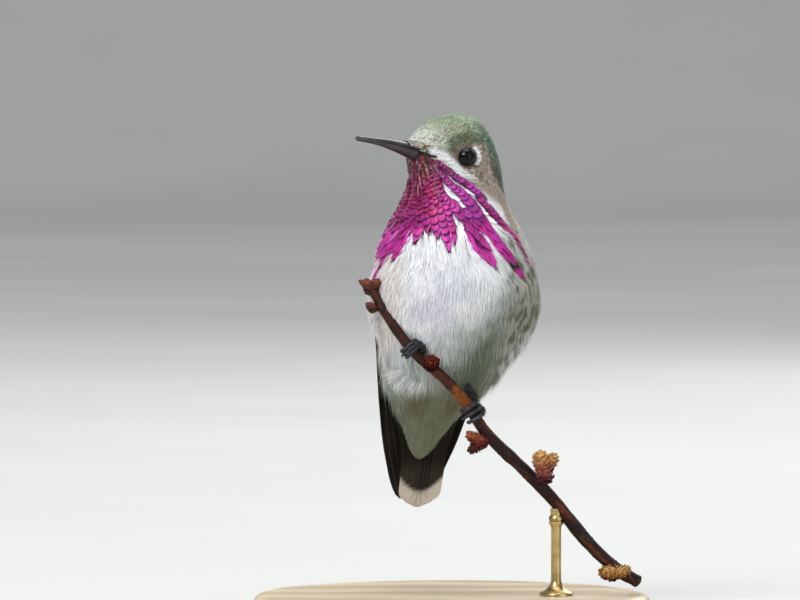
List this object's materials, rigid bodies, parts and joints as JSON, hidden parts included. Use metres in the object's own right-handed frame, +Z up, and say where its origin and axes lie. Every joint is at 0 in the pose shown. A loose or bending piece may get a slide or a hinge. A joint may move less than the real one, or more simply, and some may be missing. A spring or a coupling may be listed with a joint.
{
  "type": "hummingbird",
  "caption": "Life-size still model of a male calliope hummingbird, perched with its head turned, gripping a short cut twig on a round display stand.",
  "frame": {"origin": "centre of the round stand's underside", "axes": "+Z up; -Y is the way the bird's breast faces; +X is the bird's left, the side that the twig slopes down to"},
  "size_m": [0.064, 0.064, 0.0787],
  "materials": {
    "plumage": "soft overlapping feathers, white below and green above",
    "gorget": "glossy magenta throat feathers in long rays",
    "flight_feathers": "dark brown wing and tail vanes with a slight sheen",
    "bill": "smooth black horn with a soft sheen",
    "eye": "wet glossy black",
    "foot": "fine dark scales",
    "bark": "smooth red-brown bark with a satin skin",
    "bud": "papery bud scales, orange and brown",
    "stand_wood": "turned and oiled pale wood",
    "stand_metal": "satin brass"
  },
  "bodies": {
    "root": {"head": "plumage", "neck": "gorget", "trunk": "plumage", "wing_left": "flight_feathers", "wing_right": "flight_feathers", "tail": "flight_feathers", "eye_left": "eye", "eye_right": "eye", "bill_upper": "bill", "bill_lower": "bill", "leg_left": "foot", "leg_right": "foot", "perch_twig": "bark", "perch_knob": "bud", "perch_bud_side": "bud", "perch_bud_front": "bud", "perch_bud_lower": "bud", "perch_bud_orange": "bud", "perch_bud_low": "bud", "stand_base": "stand_wood", "stand_rod": "stand_metal"}
  },
  "joints": []
}
